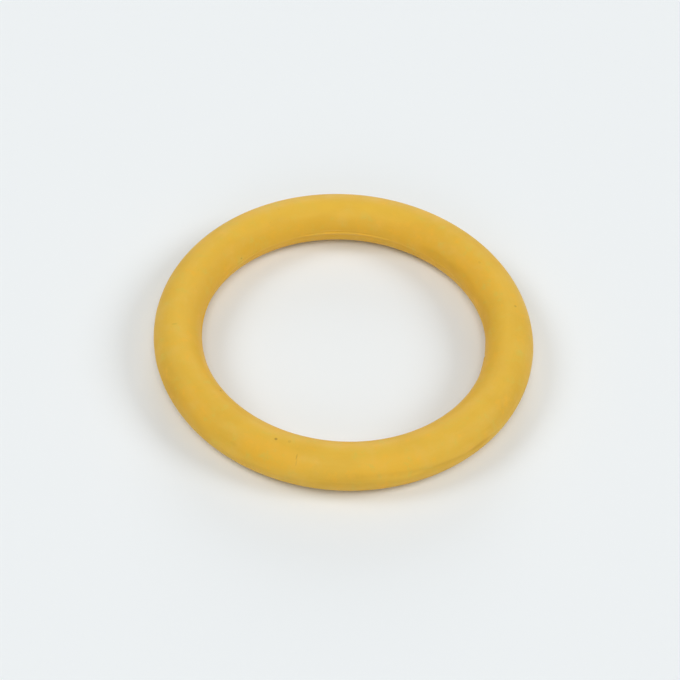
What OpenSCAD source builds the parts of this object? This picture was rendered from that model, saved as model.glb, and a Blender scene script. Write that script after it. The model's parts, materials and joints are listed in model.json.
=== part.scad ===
// A rubber O-ring that lies flat, moulded in one piece.
// A round section runs once round the Z axis. A fine line of trimmed flash follows the
// inside and the outside of the ring, where the two halves of its mould met.
// The origin is the centre of the ring, on the surface that it lies on.

/* [Ring] */
// Inside diameter of the relaxed ring, across the bare rubber
inside_d = 30; // [10:0.5:150]
// Diameter of the round section
section_d = 5; // [1.5:0.5:10]

/* [Parting line] */
// Width of the flash at its base, just inside the round section
flash_base_w = 0.3; // [0.24:0.02:0.48]
// Width of the flat land that trimming leaves along the crest of the flash
flash_land_w = 0.12; // [0.06:0.02:0.2]
// Height of the flash above the round section on the inside of the ring
inner_flash_h = 0.08; // [0.02:0.01:0.16]
// Height of the flash on the outside of the ring, where it is trimmed closer
outer_flash_h = 0.03; // [0.02:0.01:0.16]

/* [Finish] */
// Colour of the rubber
rubber_color = "#DDB246"; // ["#DDB246":Ochre, "#2B2A29":Black, "#B04A32":Rust red]

/* [Hidden] */
section_r = section_d / 2;
// Radius of the circle that the middle of the section follows
mean_r = inside_d / 2 + section_r;
// How deep inside the round section the flanks of the flash begin
flash_root = 0.02;
// Where they begin, measured from the middle of the section
flash_base_r = sqrt(pow(section_r, 2) - pow(flash_base_w / 2, 2)) - flash_root;
// Sides of the section, and steps of its turn round the axis
section_steps = 96;
turn_steps = 240;

// Flash of height h on the right of a section that is centred on the origin
module flash_profile(h) {
    polygon([
        [flash_base_r, -flash_base_w / 2],
        [section_r + h, -flash_land_w / 2],
        [section_r + h, flash_land_w / 2],
        [flash_base_r, flash_base_w / 2],
    ]);
}

// The whole section: the round, with flash on the side away from the axis and on the side next to it
module section_profile() {
    circle(r = section_r, $fn = section_steps);
    flash_profile(outer_flash_h);
    rotate(180) flash_profile(inner_flash_h);
}

module o_ring() {
    color(rubber_color)
        rotate_extrude($fn = turn_steps)
            translate([mean_r, section_r])
                section_profile();
}

o_ring();
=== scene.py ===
"""Dresses a packed rubber O-ring for the camera: the ring, its rubber, a pale table and soft light."""

import json
import math

from typing import NamedTuple

import bpy
from bpy.props import FloatProperty, FloatVectorProperty, IntProperty, PointerProperty
from bpy.types import Operator, Panel, PropertyGroup
from mathutils import Matrix, Vector


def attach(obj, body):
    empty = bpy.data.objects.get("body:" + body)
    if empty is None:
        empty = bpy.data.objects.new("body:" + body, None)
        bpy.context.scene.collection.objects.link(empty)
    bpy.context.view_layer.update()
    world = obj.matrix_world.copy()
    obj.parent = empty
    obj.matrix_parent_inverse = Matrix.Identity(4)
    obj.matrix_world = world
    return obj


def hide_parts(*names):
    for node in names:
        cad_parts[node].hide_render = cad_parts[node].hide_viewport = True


bl_info = {
    "name": "Rubber O-ring",
    "version": (1, 0, 0),
    "blender": (4, 5, 0),
    "location": "3D View > Sidebar > O-ring",
    "description": "Moulds a rubber O-ring round its packed frame and sets it on a pale table",
    "category": "Object",
}

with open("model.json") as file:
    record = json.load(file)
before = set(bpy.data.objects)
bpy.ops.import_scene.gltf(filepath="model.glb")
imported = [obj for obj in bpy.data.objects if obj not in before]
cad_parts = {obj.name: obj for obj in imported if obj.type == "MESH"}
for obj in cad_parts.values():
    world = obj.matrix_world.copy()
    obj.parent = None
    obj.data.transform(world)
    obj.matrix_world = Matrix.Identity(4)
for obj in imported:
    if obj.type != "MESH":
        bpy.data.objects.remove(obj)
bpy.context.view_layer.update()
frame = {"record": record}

MM = 0.001
MOUNTS = {mount["name"]: mount for mount in frame["record"]["mounts"]}
# The bare rubber is 30 mm inside, and the mounts are as high as the middle of its section
INSIDE_DIAMETER = 30 * MM
SECTION_DIAMETER = 2 * MOUNTS["inside"]["pos_m"][2]
# The radius of each mount is measured on the crest of the flash
INNER_FLASH = INSIDE_DIAMETER / 2 - MOUNTS["inside"]["dims"]["r_mm"] * MM
OUTER_FLASH = MOUNTS["outside"]["dims"]["r_mm"] * MM - INSIDE_DIAMETER / 2 - SECTION_DIAMETER
FLASH_LAND = MOUNTS["inside"]["dims"]["length_mm"] * MM

# Vertices this close are one
MERGE_DISTANCE = 0.001 * MM
# How strongly the rows of vertices gather at the flash: 0 spaces them evenly, and 0.5 is the limit
GATHERING = 0.38
# A knife goes in and comes out over this much of a turn
TRIM_FADE = math.radians(14)
# Vertex attribute that is 1 in the groove that trimming has left, and 0 elsewhere
TRIMMED = "trimmed"
# The part of a mark's reach that has its full depth
MARK_CORE = 0.35
# Streaks are read round this small circle and not round the ring, which draws them out along it
STREAK_CIRCLE = 1.6 * MM
# The share of the dust's cells that hold a grain, and how dark a grain is
DUSTY_CELLS = 0.16
DUST_DEPTH = 0.3
TABLE_HALF_WIDTH = 2.0
LAMP_DISTANCE = 0.5
# In millimetres, as Blender counts it
SENSOR_WIDTH = 36.0


def length(name, description, default):
    return FloatProperty(
        name=name, description=description, default=default, min=0.0, precision=5, unit="LENGTH"
    )


def colour(name, description, default):
    return FloatVectorProperty(
        name=name, description=description, default=default, size=3, min=0.0, max=1.0, subtype="COLOR"
    )


def share(name, description, default):
    return FloatProperty(
        name=name, description=description, default=default, min=0.0, max=1.0, subtype="FACTOR"
    )


def angle(name, description, default):
    return FloatProperty(
        name=name, description=description, default=math.radians(default), subtype="ANGLE"
    )


class RingSizes(PropertyGroup):
    inside_diameter: length(
        "Inside diameter", "Inside diameter of the relaxed ring, across the bare rubber", INSIDE_DIAMETER
    )
    section_diameter: length("Section", "Diameter of the round section", SECTION_DIAMETER)
    inner_flash: length("Inner flash", "Height of the flash on the inside of the ring", INNER_FLASH)
    outer_flash: length("Outer flash", "Height of the flash on the outside of the ring", OUTER_FLASH)
    flash_land: length("Flash land", "Width of the flat crest that trimming leaves", FLASH_LAND)
    inner_base: length("Inner base", "Width of the inner flash where it rises from the section", 0.44 * MM)
    outer_base: length("Outer base", "Width of the outer flash, which trimming has blended in", 0.9 * MM)
    stray: length("Stray", "How far the parting line strays from the middle of the section", 0.03 * MM)
    trim_depth: length("Trim depth", "How far the knife has cut into the outside of the ring", 0.032 * MM)
    trim_width: length("Trim width", "Width of the groove that the knife has left", 0.8 * MM)
    trim_start: angle("Trim start", "Where the knife went in, from the X axis", 267)
    trim_end: angle("Trim end", "Where the knife came out, from the X axis", 328)
    trim_high: length("Trim high", "Height of the groove above the line where the knife went in", 1.1 * MM)
    trim_low: length("Trim low", "Height of the groove above the line where the knife came out", 0.2 * MM)
    dip: length("Dip", "How far the surface may lie inside a true torus", 0.012 * MM)
    seed: IntProperty(name="Seed", description="Picks where the flash stands up most", default=26)
    turn_steps: IntProperty(
        name="Steps round", description="Number of faces along the ring", default=512, min=16
    )
    section_steps: IntProperty(
        name="Steps over", description="Number of faces round the section", default=160, min=16
    )


class RubberLook(PropertyGroup):
    clean: colour("Rubber", "Colour of the clean rubber", (0.745, 0.45, 0.05))
    # Besides the random clouds, this colour paints shade on the outside of the front left and front right
    deep: colour("Deep", "Colour of the darker clouds in the rubber", (0.687, 0.397, 0.035))
    # Painted shade: a darker, more orange colour for the side that faces the axis
    inner: colour("Inner side", "Colour of the sheltered side that faces the axis", (0.735, 0.412, 0.031))
    warm: colour("Warm", "Colour of the patches that lean to orange", (0.805, 0.436, 0.034))
    olive: colour("Olive", "Colour of the patches that lean to olive", (0.675, 0.47, 0.063))
    # Besides the bloom, this colour paints two highlights along the flash
    haze_and_highlight: colour("Haze", "Colour of the pale bloom on the rubber", (0.797, 0.574, 0.203))
    # Painted light: this colour lightens patches on the top of the inside, where more light falls
    painted_light: colour("Fresh", "Colour of the patches that handling has wiped clean", (0.79, 0.487, 0.051))
    # This brown darkens a band along the trimmed groove, and paints shade at the front left and on the
    # inside at the right
    brown_and_shade: colour("Stain", "Colour of the broad brown stains on the sides", (0.5, 0.25, 0.012))
    # Besides specks and dust, this colour paints shade beside the flash and in the trimmed groove
    dirt_and_shade: colour("Dirt", "Colour of specks and of dirt beside the flash", (0.19, 0.1, 0.02))
    roughness: share("Roughness", "Roughness of the moulded surface", 0.55)
    gloss: share("Gloss", "Strength of the reflection from the surface", 0.2)


class StageLook(PropertyGroup):
    table: colour("Table", "Colour of the pale table", (0.848, 0.881, 0.895))
    room_light: share("Room light", "Strength of the even light from all round", 0.28)
    lamp_spread: angle("Lamp spread", "How wide each lamp looks from the ring", 26)
    camera_height: angle("Camera elevation", "Angle of the camera above the table", 48.56)
    camera_tilt: angle("Camera tilt", "Turn of the camera about its own axis", 3.94)
    camera_distance: length("Camera distance", "From the camera to what it looks at", 302.05 * MM)
    camera_lens: FloatProperty(
        name="Lens", description="Focal length on a sensor 36 mm wide, in millimetres", default=151.9
    )
    camera_aim: FloatVectorProperty(
        name="Camera aim",
        description="The point that the camera looks at",
        default=(-0.37 * MM, -0.5 * MM, 2.5 * MM),
        size=3,
        precision=5,
        subtype="TRANSLATION",
    )


def radii(sizes):
    """Radius of the circle through the middles of the sections, and radius of the section."""
    section_radius = sizes.section_diameter / 2
    return sizes.inside_diameter / 2 + section_radius, section_radius


def live(sockets, key):
    """The socket in use that has this name, or this place among those in use."""
    used = [socket for socket in sockets if socket.enabled]
    if isinstance(key, int):
        return used[key]
    return next(socket for socket in used if socket.name == key)


class Value:
    """An output socket. Python's operators on it add Math nodes to its tree."""

    def __init__(self, graph, socket):
        self.graph = graph
        self.socket = socket

    def other(self, name):
        """Another output of the same node."""
        return Value(self.graph, live(self.socket.node.outputs, name))

    def __add__(self, other):
        return self.graph.math("ADD", self, other)

    def __sub__(self, other):
        return self.graph.math("SUBTRACT", self, other)

    def __rsub__(self, other):
        return self.graph.math("SUBTRACT", other, self)

    def __mul__(self, other):
        return self.graph.math("MULTIPLY", self, other)

    def __truediv__(self, other):
        return self.graph.math("DIVIDE", self, other)

    def __rtruediv__(self, other):
        return self.graph.math("DIVIDE", other, self)

    def __abs__(self):
        return self.graph.math("ABSOLUTE", self)

    def __lt__(self, other):
        return self.graph.math("LESS_THAN", self, other)

    def __gt__(self, other):
        return self.graph.math("GREATER_THAN", self, other)

    __radd__ = __add__
    __rmul__ = __mul__

    def sin(self):
        return self.graph.math("SINE", self)

    def cos(self):
        return self.graph.math("COSINE", self)

    def ramp(self, start, end, low=0.0, high=1.0):
        """Goes smoothly from low at start to high at end, and stays level beyond them."""
        return self.graph.add(
            "ShaderNodeMapRange",
            {"interpolation_type": "SMOOTHERSTEP"},
            {"Value": self, "From Min": start, "From Max": end, "To Min": low, "To Max": high},
        )


class Graph:
    """Builds a node tree, of a material, the world or a modifier."""

    def __init__(self, tree):
        self.tree = tree
        tree.nodes.clear()

    def add(self, kind, settings=None, inputs=None, output=0):
        """Adds a node, sets its settings and then fills or links its inputs. Gives one of its outputs."""
        node = self.tree.nodes.new(kind)
        for name, setting in (settings or {}).items():
            setattr(node, name, setting)
        for key, value in (inputs or {}).items():
            socket = live(node.inputs, key)
            if isinstance(value, Value):
                self.tree.links.new(value.socket, socket)
            else:
                socket.default_value = value
        return Value(self, live(node.outputs, output)) if node.outputs else None

    def math(self, operation, *inputs):
        return self.add("ShaderNodeMath", {"operation": operation}, dict(enumerate(inputs)))

    def vector(self, operation, *inputs):
        """A Vector Math node. The second input of SCALE is its factor."""
        return self.add("ShaderNodeVectorMath", {"operation": operation}, dict(enumerate(inputs)))

    def point(self, x, y, z):
        return self.add("ShaderNodeCombineXYZ", None, {"X": x, "Y": y, "Z": z})

    def mix(self, under, cover, factor):
        """A colour that goes from under to cover as factor goes from 0 to 1."""
        return self.add(
            "ShaderNodeMix", {"data_type": "RGBA"}, {"Factor": factor, "A": under, "B": cover}
        )

    def noise(self, place, size, detail=2.0, roughness=0.5):
        """Soft noise about 0.5, whose patches are about size across."""
        return self.add(
            "ShaderNodeTexNoise",
            {"noise_dimensions": "3D"},
            {"Vector": place, "Scale": 1 / size, "Detail": detail, "Roughness": roughness},
        )


RING_INPUTS = {
    "Mean Radius": "NodeSocketFloat",
    "Section Radius": "NodeSocketFloat",
    "Inner Flash": "NodeSocketFloat",
    "Outer Flash": "NodeSocketFloat",
    "Flash Land": "NodeSocketFloat",
    "Inner Base": "NodeSocketFloat",
    "Outer Base": "NodeSocketFloat",
    "Stray": "NodeSocketFloat",
    "Trim Depth": "NodeSocketFloat",
    "Trim Width": "NodeSocketFloat",
    "Trim Start": "NodeSocketFloat",
    "Trim End": "NodeSocketFloat",
    "Trim High": "NodeSocketFloat",
    "Trim Low": "NodeSocketFloat",
    "Dip": "NodeSocketFloat",
    "Turn Steps": "NodeSocketInt",
    "Section Steps": "NodeSocketInt",
    "Seed": "NodeSocketFloat",
    "Material": "NodeSocketMaterial",
}


def ring_tree():
    """The shape of the moulded ring: a flat grid rolled up into a torus, with flash raised along it."""
    tree = bpy.data.node_groups.new("Moulded ring", "GeometryNodeTree")
    for name, kind in RING_INPUTS.items():
        tree.interface.new_socket(name, in_out="INPUT", socket_type=kind)
    tree.interface.new_socket("Geometry", in_out="OUTPUT", socket_type="NodeSocketGeometry")
    graph = Graph(tree)
    given = graph.add("NodeGroupInput")
    section_radius = given.other("Section Radius")

    grid = graph.add(
        "GeometryNodeMeshGrid",
        None,
        {
            "Size X": 1.0,
            "Size Y": 1.0,
            "Vertices X": given.other("Turn Steps") + 1,
            "Vertices Y": given.other("Section Steps") + 1,
        },
    )
    mapped = graph.add(
        "GeometryNodeStoreNamedAttribute",
        {"data_type": "FLOAT2", "domain": "CORNER"},
        {"Geometry": grid, "Name": "UVMap", "Value": grid.other("UV Map")},
    )
    flat = graph.add("ShaderNodeSeparateXYZ", None, {0: graph.add("GeometryNodeInputPosition")})
    turn = (flat.other("X") + 0.5) * math.tau
    # Vertices gather at the inside and the outside of the ring, where the flash is
    even = (flat.other("Y") + 0.5) * math.tau
    over = even - (even * 2).sin() * GATHERING
    outwards = graph.point(over.cos() * turn.cos(), over.cos() * turn.sin(), over.sin())
    middle = graph.point(
        given.other("Mean Radius") * turn.cos(), given.other("Mean Radius") * turn.sin(), section_radius
    )
    bare = graph.vector("ADD", middle, graph.vector("SCALE", outwards, section_radius))

    seeded = graph.vector("ADD", bare, graph.point(given.other("Seed"), 0.0, 0.0))
    # Soft noise goes about a quarter up and down from its middle
    stray = (graph.noise(seeded, 7 * MM) - 0.5) * 4 * given.other("Stray")
    rise = section_radius * over.sin() + stray
    inside = over.cos() < 0.0
    outer_base = given.other("Outer Base")
    base = outer_base + inside * (given.other("Inner Base") - outer_base)
    crest = abs(rise).ramp(base / 2, given.other("Flash Land") / 2)
    nicks = graph.noise(seeded, 0.9 * MM, detail=1.0).ramp(0.24, 0.34, low=0.3)
    inner = given.other("Inner Flash") * graph.noise(seeded, 5 * MM).ramp(0.38, 0.6, low=0.25) * nicks
    outer = given.other("Outer Flash") * graph.noise(seeded, 6 * MM).ramp(0.4, 0.7, low=0.1) * nicks
    flash = crest * (outer + inside * (inner - outer))
    # The knife came down towards the line, and went in and came out slowly
    start = given.other("Trim Start")
    end = given.other("Trim End")
    reached = turn.ramp(start, start + TRIM_FADE) * turn.ramp(end, end - TRIM_FADE)
    knife = turn.ramp(start, end, given.other("Trim High"), given.other("Trim Low"))
    groove = abs(rise - knife).ramp(given.other("Trim Width") / 2, 0.0) * reached * (1 - inside)
    cut = groove * given.other("Trim Depth") * graph.noise(seeded, 2 * MM).ramp(0.3, 0.6, low=0.6)
    # Never quite 0, so that the ring stays inside the facets of its CAD node
    dip = given.other("Dip") * graph.noise(seeded, 9 * MM, detail=1.0).ramp(0.2, 0.8, low=0.45)
    place = graph.vector("ADD", bare, graph.vector("SCALE", outwards, flash - cut - dip))

    trimmed = graph.add(
        "GeometryNodeStoreNamedAttribute",
        {"data_type": "FLOAT", "domain": "POINT"},
        {"Geometry": mapped, "Name": TRIMMED, "Value": groove},
    )
    rolled = graph.add("GeometryNodeSetPosition", None, {"Geometry": trimmed, "Position": place})
    closed = graph.add(
        "GeometryNodeMergeByDistance", None, {"Geometry": rolled, "Distance": MERGE_DISTANCE}
    )
    smooth = graph.add("GeometryNodeSetShadeSmooth", None, {"Geometry": closed})
    real = graph.add("GeometryNodeRealizeInstances", None, {"Geometry": smooth})
    finished = graph.add(
        "GeometryNodeSetMaterial", None, {"Geometry": real, "Material": given.other("Material")}
    )
    graph.add("NodeGroupOutput", None, {"Geometry": finished})
    return tree


def made_of_nodes(name, tree, values):
    """A plain mesh object of what the tree makes from these values."""
    blank = bpy.data.meshes.new("blank")
    piece = bpy.data.objects.new(name, blank)
    bpy.context.scene.collection.objects.link(piece)
    modifier = piece.modifiers.new(tree.name, "NODES")
    modifier.node_group = tree
    for item in tree.interface.items_tree:
        if item.name in values:
            modifier[item.identifier] = values[item.name]
    depsgraph = bpy.context.evaluated_depsgraph_get()
    mesh = bpy.data.meshes.new_from_object(piece.evaluated_get(depsgraph), depsgraph=depsgraph)
    piece.modifiers.remove(modifier)
    piece.data = mesh
    bpy.data.meshes.remove(blank)
    mesh.name = name
    # Mesh Grid comes with an empty slot in front
    mesh.materials.pop(index=0)
    return piece


class Mark(NamedTuple):
    """A speck, scratch, stain or patch in one of the colours of RubberLook; some patches are painted
    light, painted shade or painted highlights.

    Its places round the ring (turn) and round the section (over) are in degrees. Over is 0 on the
    outside of the ring, 90 on its top and 180 on its inside. From its middle it reaches this far
    along and across the ring, and its colour covers the rubber there to its depth.
    """

    tint: str
    turn: float
    over: float
    along: float
    across: float
    depth: float


MARKS = (
    # Orange patches
    Mark("warm", turn=32, over=125, along=5.5 * MM, across=2.2 * MM, depth=0.6),
    Mark("warm", turn=63, over=135, along=5.5 * MM, across=2.0 * MM, depth=0.45),
    Mark("warm", turn=220, over=47, along=5.0 * MM, across=1.7 * MM, depth=0.5),
    Mark("warm", turn=250, over=47, along=5.5 * MM, across=1.8 * MM, depth=0.7),
    Mark("warm", turn=287, over=45, along=5.5 * MM, across=1.7 * MM, depth=0.5),
    # Painted shade: darker patches on the outside of the front left and the front right
    Mark("deep", turn=207, over=32, along=5.5 * MM, across=1.5 * MM, depth=0.55),
    Mark("deep", turn=240, over=38, along=5.0 * MM, across=1.4 * MM, depth=0.45),
    Mark("deep", turn=332, over=36, along=5.0 * MM, across=1.5 * MM, depth=0.45),
    # Painted light: lighter patches on the top of the inside, at the back and at the right
    Mark("painted_light", turn=76, over=107, along=4.5 * MM, across=1.5 * MM, depth=0.55),
    Mark("painted_light", turn=92, over=114, along=4.0 * MM, across=1.5 * MM, depth=0.5),
    Mark("painted_light", turn=108, over=107, along=4.5 * MM, across=1.5 * MM, depth=0.5),
    Mark("painted_light", turn=130, over=105, along=4.5 * MM, across=1.4 * MM, depth=0.4),
    Mark("painted_light", turn=2, over=112, along=4.0 * MM, across=1.5 * MM, depth=0.35),
    # A patch of bloom, and two painted highlights along the flash at the back of the inside
    Mark("haze_and_highlight", turn=174, over=135, along=5.5 * MM, across=2.0 * MM, depth=0.05),
    Mark("haze_and_highlight", turn=92, over=181, along=3.2 * MM, across=0.12 * MM, depth=0.2),
    Mark("haze_and_highlight", turn=98, over=171, along=1.7 * MM, across=0.1 * MM, depth=0.16),
    # Specks and scratches
    Mark("dirt_and_shade", turn=249.7, over=86, along=0.22 * MM, across=0.2 * MM, depth=0.55),
    Mark("dirt_and_shade", turn=254.2, over=91.5, along=0.24 * MM, across=0.26 * MM, depth=0.16),
    Mark("dirt_and_shade", turn=258, over=58, along=0.08 * MM, across=0.42 * MM, depth=0.32),
    Mark("dirt_and_shade", turn=258.3, over=45, along=0.09 * MM, across=0.5 * MM, depth=0.14),
    Mark("dirt_and_shade", turn=12.2, over=71.5, along=0.2 * MM, across=0.2 * MM, depth=0.3),
    Mark("dirt_and_shade", turn=35, over=101, along=0.25 * MM, across=0.2 * MM, depth=0.12),
    Mark("dirt_and_shade", turn=140, over=167, along=0.17 * MM, across=0.15 * MM, depth=0.3),
    Mark("dirt_and_shade", turn=186.5, over=82, along=0.13 * MM, across=0.42 * MM, depth=0.14),
    Mark("dirt_and_shade", turn=220, over=129, along=0.2 * MM, across=0.2 * MM, depth=0.4),
    Mark("dirt_and_shade", turn=238, over=32, along=0.6 * MM, across=0.3 * MM, depth=0.06),
    # Darker brown patches: a band along the trimmed groove on the outside of the front and front right,
    # and painted shade low on the outside of the front left and just above the middle of the inside at the
    # right
    Mark("brown_and_shade", turn=317, over=6, along=2.2 * MM, across=0.36 * MM, depth=0.3),
    Mark("brown_and_shade", turn=276, over=13, along=4.0 * MM, across=0.8 * MM, depth=0.1),
    Mark("brown_and_shade", turn=303, over=6, along=4.0 * MM, across=0.5 * MM, depth=0.2),
    Mark("brown_and_shade", turn=330, over=25, along=4.5 * MM, across=1.1 * MM, depth=0.1),
    Mark("brown_and_shade", turn=215, over=14, along=6.0 * MM, across=1.5 * MM, depth=0.24),
    Mark("brown_and_shade", turn=14, over=158, along=4.0 * MM, across=1.1 * MM, depth=0.22),
    Mark("brown_and_shade", turn=35, over=163, along=4.0 * MM, across=1.2 * MM, depth=0.22),
    Mark("brown_and_shade", turn=50, over=167, along=4.0 * MM, across=1.0 * MM, depth=0.2),
)


def mark_mask(graph, place, mark, mean_radius, section_radius):
    """Is the mark's depth in its middle, and falls to 0 at its edge."""
    turn = math.radians(mark.turn)
    over = math.radians(mark.over)
    radial = Vector((math.cos(turn), math.sin(turn), 0.0))
    up = Vector((0.0, 0.0, 1.0))
    outwards = radial * math.cos(over) + up * math.sin(over)
    centre = radial * mean_radius + up * section_radius + outwards * section_radius
    round_ring = up.cross(radial)
    axes = Matrix((round_ring, outwards.cross(round_ring), outwards)).transposed()
    local = graph.add(
        "ShaderNodeMapping",
        {"vector_type": "TEXTURE"},
        {
            "Vector": place,
            "Location": centre,
            "Rotation": axes.to_euler(),
            "Scale": (mark.along, mark.across, max(mark.along, mark.across)),
        },
    )
    return graph.vector("LENGTH", local).ramp(1.0, MARK_CORE) * mark.depth


def rubber_material(look, sizes):
    """Silky moulded rubber: clouds, streaks that follow the ring, a pale bloom, marks, painted light,
    shade and highlights, and a seam darkened by dirt and painted shade.
    """
    material = bpy.data.materials.new("Moulded rubber")
    material.use_nodes = True
    graph = Graph(material.node_tree)
    mean_radius, section_radius = radii(sizes)
    place = graph.add("ShaderNodeTexCoord", output="Object")
    parts = graph.add("ShaderNodeSeparateXYZ", None, {"Vector": place})
    flat = graph.point(parts.other("X"), parts.other("Y"), 0.0)
    reach = graph.vector("LENGTH", flat) - mean_radius
    rise = parts.other("Z") - section_radius
    round_ring = graph.vector("SCALE", graph.vector("NORMALIZE", flat), STREAK_CIRCLE)

    clouds = graph.noise(place, 4 * MM, detail=3.0).ramp(0.35, 0.7)
    bloom = graph.noise(place, 2.2 * MM, detail=4.0, roughness=0.6).ramp(0.45, 0.8)
    hue = graph.noise(place, 1.7 * MM, detail=5.0, roughness=0.7)
    streaks = graph.add(
        "ShaderNodeTexNoise",
        {"noise_dimensions": "4D"},
        {
            "Vector": graph.vector("ADD", round_ring, graph.point(0.0, 0.0, reach)),
            "W": rise,
            "Scale": 1 / (0.3 * MM),
            "Detail": 2.0,
        },
    )
    grain = graph.noise(place, 0.15 * MM)
    flecks = graph.add(
        "ShaderNodeTexVoronoi", {"feature": "F1"}, {"Vector": place, "Scale": 1 / (0.8 * MM)}
    )
    chosen = graph.add("ShaderNodeSeparateColor", None, {"Color": flecks.other("Color")})
    dust = flecks.ramp(0.09, 0.03) * (chosen < DUSTY_CELLS) * DUST_DEPTH
    # Darker beside the flash: partly dirt, partly painted shade at the foot of the flash
    beside = abs(rise).ramp(sizes.inner_base * 0.9, sizes.inner_base * 0.5)
    crest = abs(rise).ramp(sizes.inner_base * 0.4, sizes.flash_land * 0.5) * (reach < 0.0)
    seam_dirt_and_shade = beside * (1 - crest) * graph.noise(place, 3 * MM).ramp(0.4, 0.65, low=0.01, high=0.06)
    groove = graph.add("ShaderNodeAttribute", {"attribute_name": TRIMMED}, output="Fac")
    # Painted shade in the groove that the knife has left
    groove_shade = groove * graph.noise(place, 0.7 * MM, detail=3.0).ramp(0.25, 0.7, low=0.02, high=0.08)

    # How much each colour covers of those before it
    covers = {
        "deep": clouds * 0.5 + streaks.ramp(0.4, 0.7) * 0.12,
        # Painted shade on the side that faces the axis
        "inner": reach.ramp(0.0, section_radius * -0.8) * 0.5,
        "warm": hue.ramp(0.5, 0.75) * 0.85,
        # The olive patches are the rubber's own, and the olive over the top half is painted light
        "olive": hue.ramp(0.5, 0.25) * 0.85 + rise.ramp(0.0, section_radius) * 0.12,
        "haze_and_highlight": bloom * 0.12 + crest * 0.06,
        "painted_light": 0.0,
        "brown_and_shade": 0.0,
        "dirt_and_shade": seam_dirt_and_shade + dust + groove_shade,
    }
    for mark in MARKS:
        covers[mark.tint] += mark_mask(graph, place, mark, mean_radius, section_radius)
    shade = (*look.clean, 1.0)
    for name, cover in covers.items():
        shade = graph.mix(shade, (*getattr(look, name), 1.0), cover)
    dirt_and_shade_cover = covers["dirt_and_shade"]
    # Grain and streaks share the relief, and dirt and painted shade lie in hollows
    height = grain * 0.4 + streaks * 0.6 - dirt_and_shade_cover * 3
    bump = graph.add("ShaderNodeBump", None, {"Strength": 0.35, "Distance": 0.01 * MM, "Height": height})
    surface = graph.add(
        "ShaderNodeBsdfPrincipled",
        None,
        {
            "Base Color": shade,
            "Roughness": look.roughness + (clouds - 0.5) * 0.08 + (streaks - 0.5) * 0.1 + dirt_and_shade_cover * 0.2,
            "Normal": bump,
            "Specular IOR Level": look.gloss,
        },
    )
    graph.add("ShaderNodeOutputMaterial", None, {"Surface": surface})
    return material


class O_RING_OT_mould(Operator):
    """Moulds the ring round its CAD node and stands in for it"""

    bl_idname = "o_ring.mould"
    bl_label = "Mould the ring"
    bl_options = {"REGISTER", "UNDO"}

    def execute(self, context):
        sizes = context.scene.o_ring_sizes
        mean_radius, section_radius = radii(sizes)
        ring = made_of_nodes(
            "moulded_ring",
            ring_tree(),
            {
                "Mean Radius": mean_radius,
                "Section Radius": section_radius,
                "Inner Flash": sizes.inner_flash,
                "Outer Flash": sizes.outer_flash,
                "Flash Land": sizes.flash_land,
                "Inner Base": sizes.inner_base,
                "Outer Base": sizes.outer_base,
                "Stray": sizes.stray,
                "Trim Depth": sizes.trim_depth,
                "Trim Width": sizes.trim_width,
                "Trim Start": sizes.trim_start,
                "Trim End": sizes.trim_end,
                "Trim High": sizes.trim_high,
                "Trim Low": sizes.trim_low,
                "Dip": sizes.dip,
                "Turn Steps": sizes.turn_steps,
                "Section Steps": sizes.section_steps,
                "Seed": float(sizes.seed),
                "Material": rubber_material(context.scene.o_ring_rubber, sizes),
            },
        )
        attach(ring, "root")
        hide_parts("o_ring")
        return {"FINISHED"}


def table_material(look):
    """Plain and pale, without gloss: from low down a glossy table is brighter than the room behind it."""
    material = bpy.data.materials.new("Pale table")
    material.use_nodes = True
    graph = Graph(material.node_tree)
    surface = graph.add("ShaderNodeBsdfDiffuse", None, {"Color": (*look.table, 1.0)})
    graph.add("ShaderNodeOutputMaterial", None, {"Surface": surface})
    return material


def lay_table(look):
    half = TABLE_HALF_WIDTH
    mesh = bpy.data.meshes.new("table")
    corners = [(-half, -half, 0), (half, -half, 0), (half, half, 0), (-half, half, 0)]
    mesh.from_pydata(corners, [], [(0, 1, 2, 3)])
    mesh.materials.append(table_material(look))
    table = bpy.data.objects.new("table", mesh)
    bpy.context.scene.collection.objects.link(table)


def aim_camera(look):
    height = look.camera_height
    back = Vector((0.0, -math.cos(height), math.sin(height)))
    level = Matrix((Vector((1, 0, 0)), back.cross(Vector((1, 0, 0))), back)).transposed()
    turned = level @ Matrix.Rotation(look.camera_tilt, 3, "Z")
    data = bpy.data.cameras.new("camera")
    data.sensor_width = SENSOR_WIDTH
    data.lens = look.camera_lens
    data.clip_start = 0.01
    camera = bpy.data.objects.new("camera", data)
    camera.matrix_world = turned.to_4x4()
    camera.location = Vector(look.camera_aim) + back * look.camera_distance
    bpy.context.scene.collection.objects.link(camera)
    bpy.context.scene.camera = camera


class Lamp(NamedTuple):
    """A soft lamp, far off: its turn from the X axis and its height in degrees, and its strength."""

    name: str
    turn: float
    height: float
    strength: float


LAMPS = (
    Lamp("right lamp", turn=0, height=38, strength=0.971),
    Lamp("left lamp", turn=180, height=46, strength=0.76),
    Lamp("low front lamp", turn=-90, height=25, strength=0.386),
    Lamp("high front lamp", turn=-90, height=62, strength=0.833),
    Lamp("back lamp", turn=90, height=18, strength=0.688),
)


def hang_lamp(lamp, spread):
    turn = math.radians(lamp.turn)
    height = math.radians(lamp.height)
    back = Vector((math.cos(height) * math.cos(turn), math.cos(height) * math.sin(turn), math.sin(height)))
    data = bpy.data.lights.new(lamp.name, "SUN")
    data.angle = spread
    data.energy = lamp.strength
    item = bpy.data.objects.new(lamp.name, data)
    item.location = back * LAMP_DISTANCE
    item.rotation_euler = back.to_track_quat("Z", "Y").to_euler()
    bpy.context.scene.collection.objects.link(item)


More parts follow.
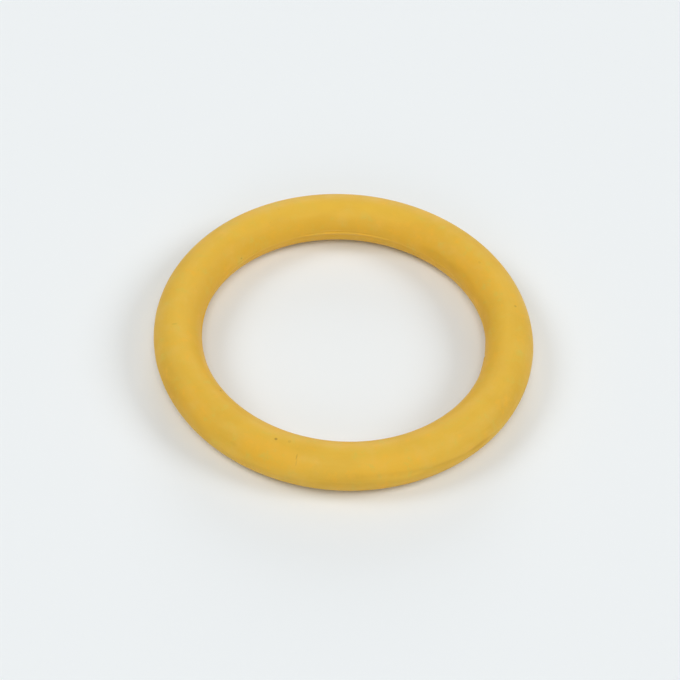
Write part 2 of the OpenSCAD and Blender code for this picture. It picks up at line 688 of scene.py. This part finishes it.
def light_room(look):
    """Even light from all round. What the camera, gloss and glass see of the room is pale instead."""
    world = bpy.data.worlds.new("Pale room")
    world.use_nodes = True
    bpy.context.scene.world = world
    graph = Graph(world.node_tree)
    room = graph.add(
        "ShaderNodeBackground", None, {"Color": (1.0, 1.0, 1.0, 1.0), "Strength": look.room_light}
    )
    pale = graph.add("ShaderNodeBackground", None, {"Color": (*look.table, 1.0), "Strength": 1.0})
    path = graph.add("ShaderNodeLightPath")
    seen = path.other("Is Camera Ray") + path.other("Is Glossy Ray") + path.other("Is Transmission Ray")
    both = graph.add("ShaderNodeMixShader", None, {0: seen, 1: room, 2: pale})
    graph.add("ShaderNodeOutputWorld", None, {"Surface": both})


class O_RING_OT_stage(Operator):
    """Lays the table, hangs the lamps and sets up the camera"""

    bl_idname = "o_ring.stage"
    bl_label = "Set the stage"
    bl_options = {"REGISTER", "UNDO"}

    def execute(self, context):
        look = context.scene.o_ring_stage
        lay_table(look)
        aim_camera(look)
        for lamp in LAMPS:
            hang_lamp(lamp, look.lamp_spread)
        light_room(look)
        context.scene.view_settings.view_transform = "Standard"
        return {"FINISHED"}


class O_RING_PT_panel(Panel):
    """Lists the steps and their sizes in the sidebar"""

    bl_label = "O-ring"
    bl_idname = "O_RING_PT_panel"
    bl_space_type = "VIEW_3D"
    bl_region_type = "UI"
    bl_category = "O-ring"

    def draw(self, context):
        scene = context.scene
        self.layout.operator("o_ring.mould")
        self.list_settings(scene.o_ring_sizes)
        self.list_settings(scene.o_ring_rubber)
        self.layout.operator("o_ring.stage")
        self.list_settings(scene.o_ring_stage)

    def list_settings(self, settings):
        column = self.layout.column(align=True)
        for name in settings.__annotations__:
            column.prop(settings, name)


CLASSES = (RingSizes, RubberLook, StageLook, O_RING_OT_mould, O_RING_OT_stage, O_RING_PT_panel)


def register():
    for each in CLASSES:
        bpy.utils.register_class(each)
    bpy.types.Scene.o_ring_sizes = PointerProperty(type=RingSizes)
    bpy.types.Scene.o_ring_rubber = PointerProperty(type=RubberLook)
    bpy.types.Scene.o_ring_stage = PointerProperty(type=StageLook)


def unregister():
    del bpy.types.Scene.o_ring_stage
    del bpy.types.Scene.o_ring_rubber
    del bpy.types.Scene.o_ring_sizes
    for each in reversed(CLASSES):
        bpy.utils.unregister_class(each)


def main():
    register()
    bpy.ops.o_ring.mould()
    bpy.ops.o_ring.stage()


if __name__ == "__main__":
    main()
